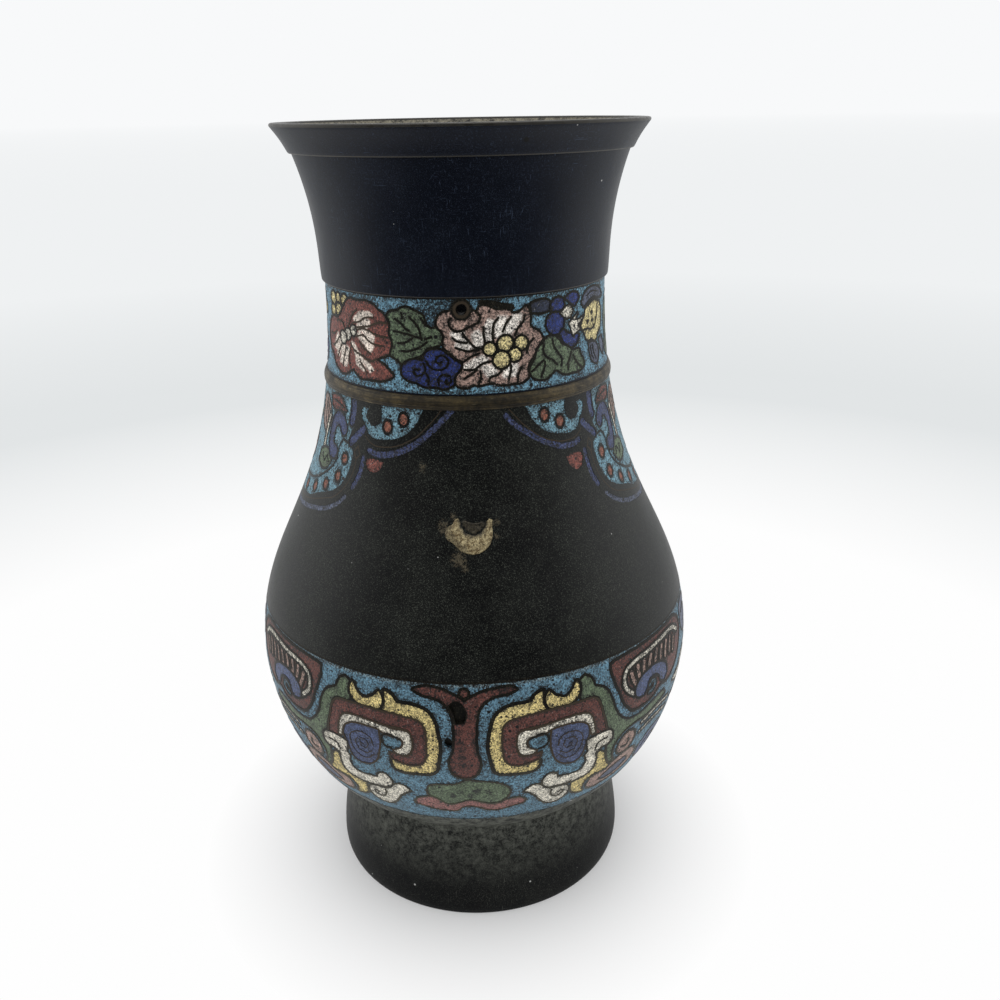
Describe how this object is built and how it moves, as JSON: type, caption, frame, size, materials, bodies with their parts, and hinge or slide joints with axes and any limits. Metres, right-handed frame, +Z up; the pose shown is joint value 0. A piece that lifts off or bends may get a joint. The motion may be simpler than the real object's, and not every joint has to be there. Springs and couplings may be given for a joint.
{
  "type": "enamel vase",
  "caption": "Tall baluster vase of cast bronze with champleve enamel: a peony band round the neck, cloud-collar lappets on the shoulder and a mask band round the belly, on a splayed foot ring.",
  "frame": {"origin": "centre of the standing face at the bottom of the foot", "axes": "+Z up along the vase's axis, -Y towards the front with the handle hole, +X to the viewer's right"},
  "size_m": [0.1766, 0.1766, 0.305],
  "materials": {
    "bronze_foot": "dark patinated bronze",
    "bronze_base": "dark patinated bronze",
    "bronze_body": "black patinated bronze",
    "bronze_ring": "worn brown bronze",
    "bronze_neck": "blue-black patinated bronze",
    "enamel_turquoise": "opaque turquoise enamel, pitted and dulled",
    "enamel_red": "opaque dark red enamel",
    "enamel_pink": "opaque pink enamel fading to white",
    "enamel_green": "opaque green enamel",
    "enamel_blue": "opaque cobalt blue enamel",
    "enamel_yellow": "opaque yellow enamel",
    "solder": "pale dull solder"
  },
  "bodies": {
    "root": {"foot_ring": "bronze_foot", "base_plate": "bronze_base", "body_casting": "bronze_body", "waist_ring": "bronze_ring", "neck_casting": "bronze_neck", "neck_ground": "enamel_turquoise", "belly_ground": "enamel_turquoise", "neck_front_red_peony": "enamel_red", "neck_front_blue_cloud": "enamel_blue", "neck_front_pink_peony": "enamel_pink", "neck_front_right_leaf": "enamel_green", "neck_front_blue_flower": "enamel_blue", "neck_back_red_peony": "enamel_red", "neck_back_blue_cloud": "enamel_blue", "neck_back_pink_peony": "enamel_pink", "neck_back_right_leaf": "enamel_green", "neck_back_blue_flower": "enamel_blue", "mask_front_nose": "enamel_red", "mask_front_right_eye_frame": "enamel_yellow", "mask_front_right_pupil": "enamel_blue", "mask_front_right_brow": "enamel_green", "mask_front_left_eye_frame": "enamel_yellow", "mask_front_left_pupil": "enamel_blue", "mask_front_left_brow": "enamel_green", "mask_back_nose": "enamel_red", "mask_back_right_eye_frame": "enamel_yellow", "mask_back_right_pupil": "enamel_blue", "mask_back_right_brow": "enamel_green", "mask_back_left_eye_frame": "enamel_yellow", "mask_back_left_pupil": "enamel_blue", "mask_back_left_brow": "enamel_green", "lappet_right_low_lobe": "enamel_turquoise", "lappet_right_near_lobe": "enamel_turquoise", "lappet_right_far_lobe": "enamel_turquoise", "lappet_left_low_lobe": "enamel_turquoise", "lappet_left_near_lobe": "enamel_turquoise", "lappet_left_far_lobe": "enamel_turquoise", "handle_scar_front": "solder", "handle_scar_back": "solder"}
  },
  "joints": []
}
